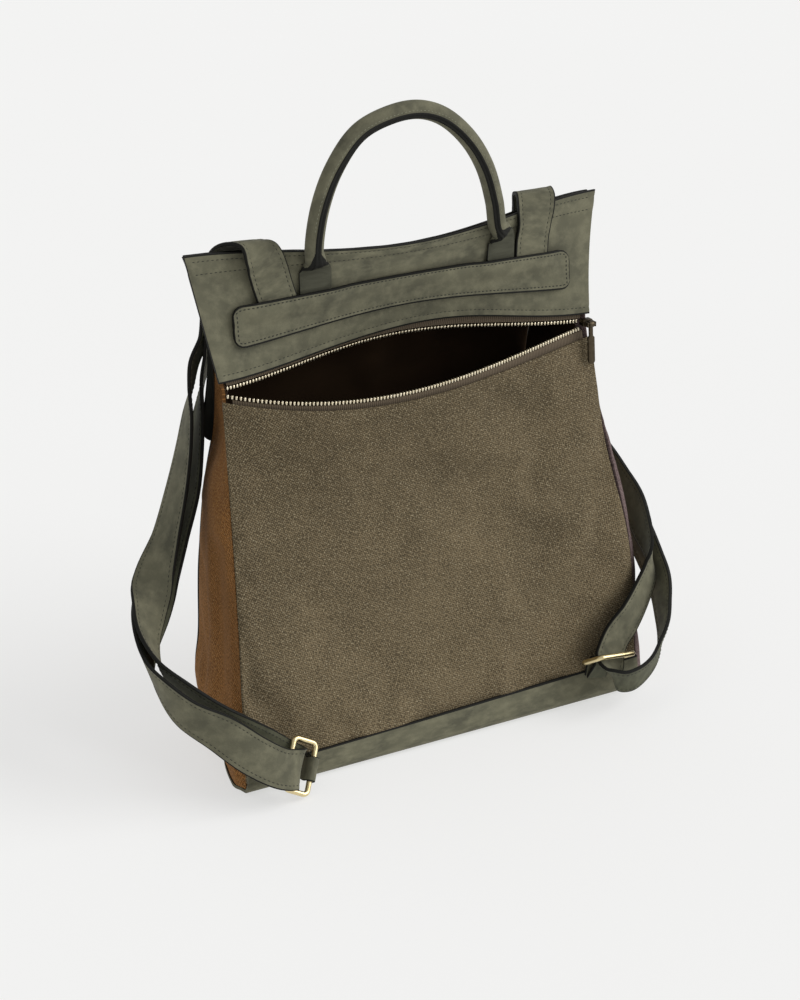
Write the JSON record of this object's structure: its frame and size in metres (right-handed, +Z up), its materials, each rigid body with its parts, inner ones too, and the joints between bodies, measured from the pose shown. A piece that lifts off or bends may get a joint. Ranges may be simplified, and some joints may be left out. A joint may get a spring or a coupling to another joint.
{
  "type": "anti-theft backpack",
  "caption": "Soft wedge-shaped backpack with an open zip across the wearer's side, a rolled top handle and ring-held straps.",
  "frame": {"origin": "middle of the underside of the base, on the surface it rests on", "axes": "+X to the right as seen from the zip side, +Y from the zip side to the front, +Z up"},
  "size_m": [0.3832, 0.1646, 0.401],
  "materials": {
    "canvas_olive": "matte woven canvas",
    "canvas_rust": "matte woven twill",
    "leather_green": "matte nubuck",
    "leather_dark": "matte nubuck",
    "brass": "satin",
    "gunmetal": "satin",
    "zip_tape": "matte woven tape"
  },
  "bodies": {
    "bag": {"back_panel": "canvas_olive", "back_yoke": "leather_green", "front_panel": "canvas_rust", "gusset_left": "canvas_rust", "gusset_right": "canvas_rust", "base": "leather_green", "front_flap": "leather_dark", "anchor_strip": "leather_green", "handle": "leather_green", "shoulder_strap_left": "leather_green", "shoulder_strap_right": "leather_green", "ring_left": "brass", "ring_right": "brass", "ring_tab_left": "leather_green", "ring_tab_right": "leather_green", "zip_tape_upper": "zip_tape", "zip_tape_lower": "zip_tape", "zip_teeth_upper": "brass", "zip_teeth_lower": "brass", "zip_slider": "gunmetal"},
    "zip_pull": {"zip_pull": "gunmetal"}
  },
  "joints": [
    {"name": "zip_pull_swing", "type": "hinge", "parent": "bag", "child": "zip_pull", "pos_m": [0.1272, -0.0171, 0.2424], "axis": [-1, 0, 0], "range_deg": [0, 110]}
  ]
}
